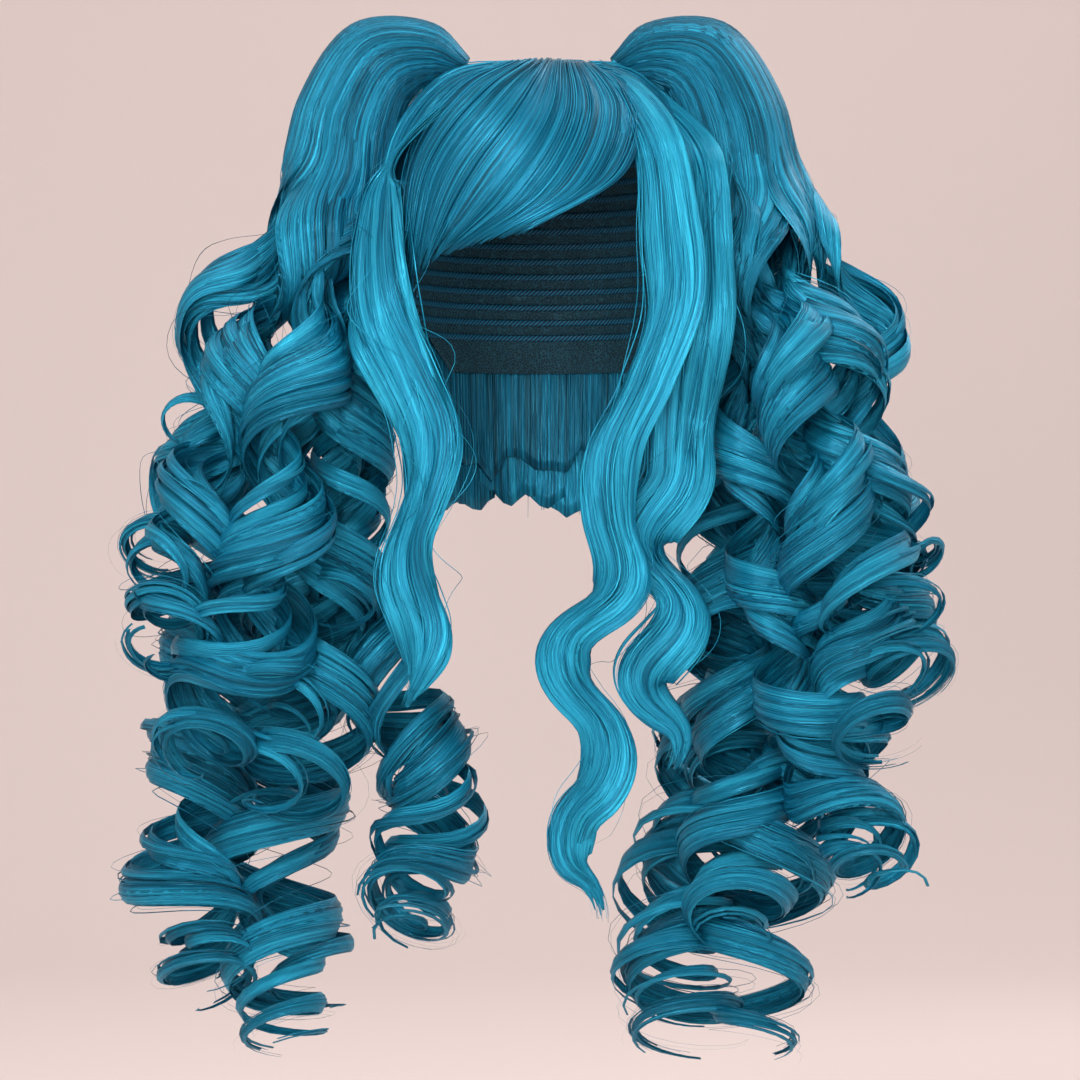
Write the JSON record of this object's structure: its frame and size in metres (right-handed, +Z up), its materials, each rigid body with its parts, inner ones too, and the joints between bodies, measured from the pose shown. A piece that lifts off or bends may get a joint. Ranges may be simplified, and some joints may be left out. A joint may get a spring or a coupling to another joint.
{
  "type": "pigtail wig",
  "caption": "Long curled wig with a swept fringe, wavy face-framing locks and high clipped pigtails, on a hollow net cap that is open at the face.",
  "frame": {"origin": "inside the top of the cap, where the top of the wearer's head sits", "axes": "+Z up, -Y the way the face opening looks, +X the wearer's left"},
  "size_m": [0.4523, 0.2099, 0.5898],
  "materials": {
    "hair": "soft sheen, synthetic fibre, teal blue",
    "net": "matte elastic net",
    "clip": "matte, dark"
  },
  "bodies": {
    "root": {"cap": "net", "crown_hair": "hair", "fringe": "hair", "side_lock_right": "hair", "side_lock_left_inner": "hair", "side_lock_left_outer": "hair", "clip_right": "clip", "clip_left": "clip", "pigtail_right": "hair", "pigtail_left": "hair"}
  },
  "joints": []
}
